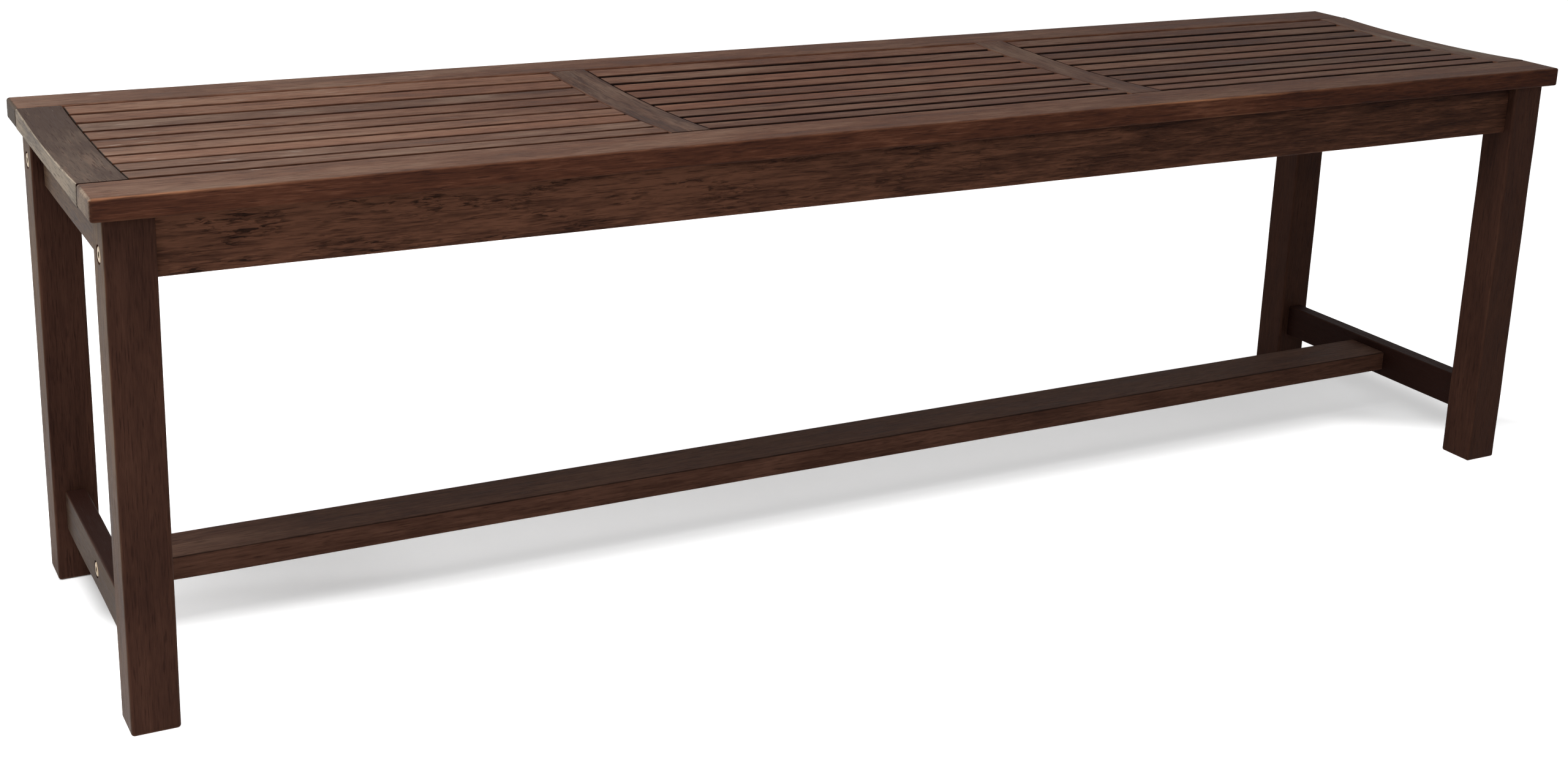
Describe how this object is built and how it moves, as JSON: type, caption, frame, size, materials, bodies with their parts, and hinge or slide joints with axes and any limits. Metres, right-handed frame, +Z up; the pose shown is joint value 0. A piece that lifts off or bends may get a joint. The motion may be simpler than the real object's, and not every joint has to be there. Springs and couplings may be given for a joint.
{
  "type": "dining bench",
  "caption": "Backless dining bench with a slatted, slightly dished seat on square legs, joined by aprons and an H stretcher.",
  "frame": {"origin": "on the floor, under the middle of the seat", "axes": "+X along the bench to the right, front faces -Y, +Z up"},
  "size_m": [1.53, 0.381, 0.45],
  "materials": {
    "seat_hardwood": "dark red-brown stain, worn satin on the seat",
    "base_hardwood": "dark red-brown stain, satin",
    "brass_bolt": "satin, brass-plated",
    "zinc_steel": "zinc-plated"
  },
  "bodies": {
    "root": {"apron_front": "base_hardwood", "apron_nut_front_left": "zinc_steel", "apron_nut_front_right": "zinc_steel", "apron_nut_rear_left": "zinc_steel", "apron_nut_rear_right": "zinc_steel", "apron_rear": "base_hardwood", "cross_rail_left": "seat_hardwood", "cross_rail_right": "seat_hardwood", "end_apron_left": "base_hardwood", "end_apron_right": "base_hardwood", "end_rail_left": "seat_hardwood", "end_rail_right": "seat_hardwood", "end_stretcher_left": "base_hardwood", "end_stretcher_right": "base_hardwood", "leg_bolt_front_left": "brass_bolt", "leg_bolt_front_right": "brass_bolt", "leg_bolt_rear_left": "brass_bolt", "leg_bolt_rear_right": "brass_bolt", "leg_front_left": "base_hardwood", "leg_front_right": "base_hardwood", "leg_rear_left": "base_hardwood", "leg_rear_right": "base_hardwood", "long_stretcher": "base_hardwood", "seat_rail_front": "seat_hardwood", "seat_rail_rear": "seat_hardwood", "seat_screw_front_left": "zinc_steel", "seat_screw_front_right": "zinc_steel", "seat_screw_rear_left": "zinc_steel", "seat_screw_rear_right": "zinc_steel", "slat_left_1": "seat_hardwood", "slat_left_2": "seat_hardwood", "slat_left_3": "seat_hardwood", "slat_left_4": "seat_hardwood", "slat_left_5": "seat_hardwood", "slat_left_6": "seat_hardwood", "slat_left_7": "seat_hardwood", "slat_left_8": "seat_hardwood", "slat_left_9": "seat_hardwood", "slat_middle_1": "seat_hardwood", "slat_middle_2": "seat_hardwood", "slat_middle_3": "seat_hardwood", "slat_middle_4": "seat_hardwood", "slat_middle_5": "seat_hardwood", "slat_middle_6": "seat_hardwood", "slat_middle_7": "seat_hardwood", "slat_middle_8": "seat_hardwood", "slat_middle_9": "seat_hardwood", "slat_right_1": "seat_hardwood", "slat_right_2": "seat_hardwood", "slat_right_3": "seat_hardwood", "slat_right_4": "seat_hardwood", "slat_right_5": "seat_hardwood", "slat_right_6": "seat_hardwood", "slat_right_7": "seat_hardwood", "slat_right_8": "seat_hardwood", "slat_right_9": "seat_hardwood", "stretcher_bolt_left": "brass_bolt", "stretcher_bolt_right": "brass_bolt", "stretcher_nut_left": "zinc_steel", "stretcher_nut_right": "zinc_steel"}
  },
  "joints": []
}
